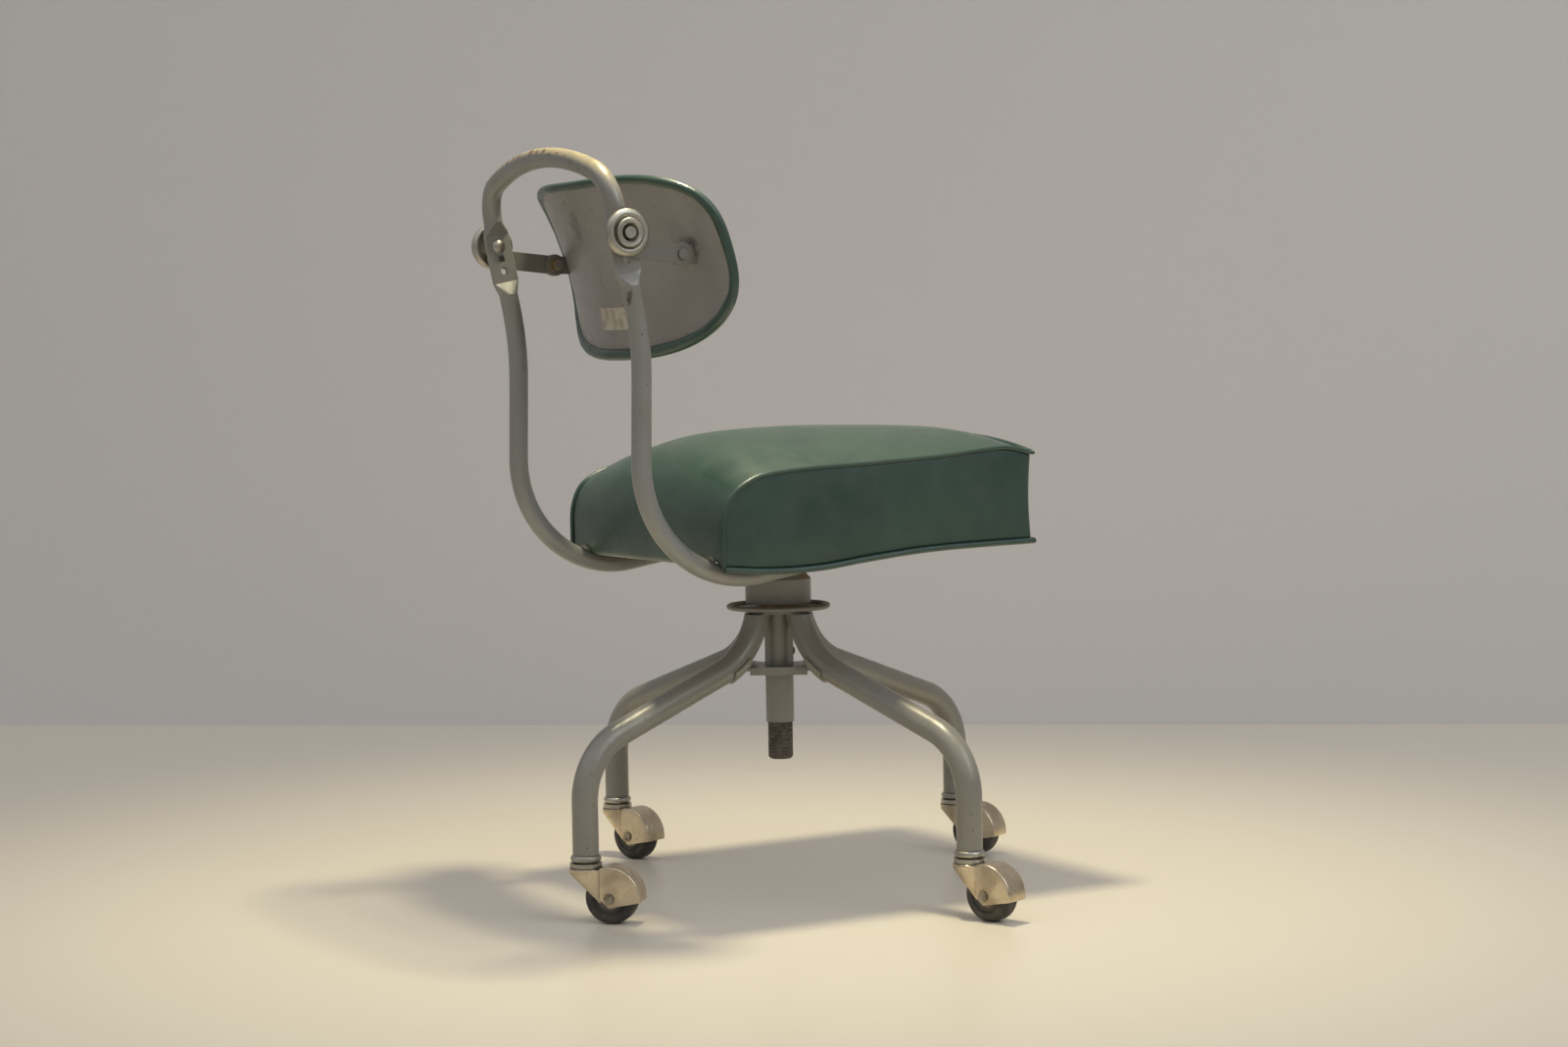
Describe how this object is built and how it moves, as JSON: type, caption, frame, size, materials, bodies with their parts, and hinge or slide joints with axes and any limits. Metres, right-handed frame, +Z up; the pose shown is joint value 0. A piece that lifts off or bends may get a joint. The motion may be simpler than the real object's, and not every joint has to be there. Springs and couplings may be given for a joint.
{
  "type": "dentist stool",
  "caption": "Swivelling posture stool with a screw lift, upholstered seat, tilting backrest on clamped arms and a tubular base on casters.",
  "frame": {"origin": "on the floor on the column's axis, level with the bottoms of the caster wheels", "axes": "+Z up, the seat's front towards -Y, the user's left towards +X"},
  "size_m": [0.5832, 0.5605, 0.7445],
  "materials": {
    "tube_paint": "aged silver-grey enamel, scuffed",
    "shell_paint": "aged beige-grey enamel, scuffed",
    "nickel": "aged nickel plate, brassy tint",
    "dark_steel": "dark oily steel",
    "brass": "dull brass",
    "tyre": "worn black rubber",
    "vinyl_pad": "green vinyl over padding",
    "plywood": "bare plywood",
    "label": "dull blank plate"
  },
  "bodies": {
    "base": {"leg_1": "tube_paint", "leg_2": "tube_paint", "leg_3": "tube_paint", "leg_4": "tube_paint", "ferrule_1": "nickel", "ferrule_2": "nickel", "ferrule_3": "nickel", "ferrule_4": "nickel", "caster_stem_1": "dark_steel", "caster_stem_2": "dark_steel", "caster_stem_3": "dark_steel", "caster_stem_4": "dark_steel", "column_sleeve": "tube_paint", "hub_plate": "tube_paint", "brace_plate": "tube_paint", "guide_screw": "dark_steel"},
    "screw": {"handwheel": "dark_steel", "lift_nut": "brass"},
    "lift": {"spindle": "dark_steel", "lower_race": "dark_steel"},
    "seat": {"ball_cage": "brass", "swivel_housing": "tube_paint", "swivel_nut": "dark_steel", "cross_plate": "tube_paint", "pan_rest": "tube_paint", "seat_frame": "tube_paint", "seat_pan": "plywood", "seat_cushion": "vinyl_pad", "clamp_bolt_left": "nickel", "clamp_bolt_right": "nickel"},
    "arms": {"back_arm_left": "tube_paint", "back_arm_right": "tube_paint"},
    "back": {"pivot_bolt_left": "nickel", "pivot_bolt_right": "nickel", "pivot_nut_left": "brass", "pivot_nut_right": "brass", "back_bracket_left": "tube_paint", "back_bracket_right": "tube_paint", "back_shell": "shell_paint", "back_cushion": "vinyl_pad", "rating_label": "label"},
    "knob_left": {"knob_left": "nickel"},
    "knob_right": {"knob_right": "nickel"},
    "caster_1": {"caster_hood_1": "nickel", "caster_axle_1": "nickel"},
    "wheel_1": {"wheel_hub_1": "dark_steel", "tyre_1": "tyre"},
    "caster_2": {"caster_hood_2": "nickel", "caster_axle_2": "nickel"},
    "wheel_2": {"wheel_hub_2": "dark_steel", "tyre_2": "tyre"},
    "caster_3": {"caster_hood_3": "nickel", "caster_axle_3": "nickel"},
    "wheel_3": {"wheel_hub_3": "dark_steel", "tyre_3": "tyre"},
    "caster_4": {"caster_hood_4": "nickel", "caster_axle_4": "nickel"},
    "wheel_4": {"wheel_hub_4": "dark_steel", "tyre_4": "tyre"}
  },
  "joints": [
    {"name": "seat_lift", "type": "slide", "parent": "base", "child": "lift", "axis": [0, 0, 1], "range_m": [0, 0.1]},
    {"name": "handwheel_turn", "type": "hinge", "parent": "base", "child": "screw", "pos_m": [0, 0, 0.2843], "axis": [0, 0, 1], "range_deg": [0, 6000]},
    {"name": "seat_swivel", "type": "hinge", "parent": "lift", "child": "seat", "pos_m": [0, 0, 0.3018], "axis": [0, 0, 1], "continuous": true},
    {"name": "back_height", "type": "hinge", "parent": "seat", "child": "arms", "pos_m": [0, 0.24343, 0.6566], "axis": [1, 0, 0], "range_deg": [-20, 18]},
    {"name": "back_tilt", "type": "hinge", "parent": "arms", "child": "back", "pos_m": [0, 0.1804, 0.63799], "axis": [1, 0, 0], "range_deg": [-18, 18]},
    {"name": "knob_left_turn", "type": "hinge", "parent": "seat", "child": "knob_left", "pos_m": [0.1315, 0.24343, 0.6566], "axis": [1, 0, 0], "range_deg": [0, 720]},
    {"name": "knob_right_turn", "type": "hinge", "parent": "seat", "child": "knob_right", "pos_m": [-0.1315, 0.24343, 0.6566], "axis": [-1, 0, 0], "range_deg": [0, 720]},
    {"name": "caster_1_swivel", "type": "hinge", "parent": "base", "child": "caster_1", "pos_m": [0.25442, 0.0564, 0.045], "axis": [0, 0, 1], "continuous": true},
    {"name": "wheel_1_spin", "type": "hinge", "parent": "caster_1", "child": "wheel_1", "pos_m": [0.22999, 0.04751, 0.0254], "axis": [0.342, -0.9397, 0], "continuous": true},
    {"name": "caster_2_swivel", "type": "hinge", "parent": "base", "child": "caster_2", "pos_m": [-0.0564, 0.25442, 0.045], "axis": [0, 0, 1], "continuous": true},
    {"name": "wheel_2_spin", "type": "hinge", "parent": "caster_2", "child": "wheel_2", "pos_m": [-0.07447, 0.23572, 0.0254], "axis": [0.7193, -0.6947, 0], "continuous": true},
    {"name": "caster_3_swivel", "type": "hinge", "parent": "base", "child": "caster_3", "pos_m": [-0.25442, -0.0564, 0.045], "axis": [0, 0, 1], "continuous": true},
    {"name": "wheel_3_spin", "type": "hinge", "parent": "caster_3", "child": "wheel_3", "pos_m": [-0.27922, -0.06422, 0.0254], "axis": [0.3007, -0.9537, 0], "continuous": true},
    {"name": "caster_4_swivel", "type": "hinge", "parent": "base", "child": "caster_4", "pos_m": [0.0564, -0.25442, 0.045], "axis": [0, 0, 1], "continuous": true},
    {"name": "wheel_4_spin", "type": "hinge", "parent": "caster_4", "child": "wheel_4", "pos_m": [0.03265, -0.265, 0.0254], "axis": [0.4067, -0.9135, 0], "continuous": true}
  ],
  "couplings": [
    {"joint": "handwheel_turn", "follows": "seat_lift", "rad_per_m": 1047.2}
  ]
}
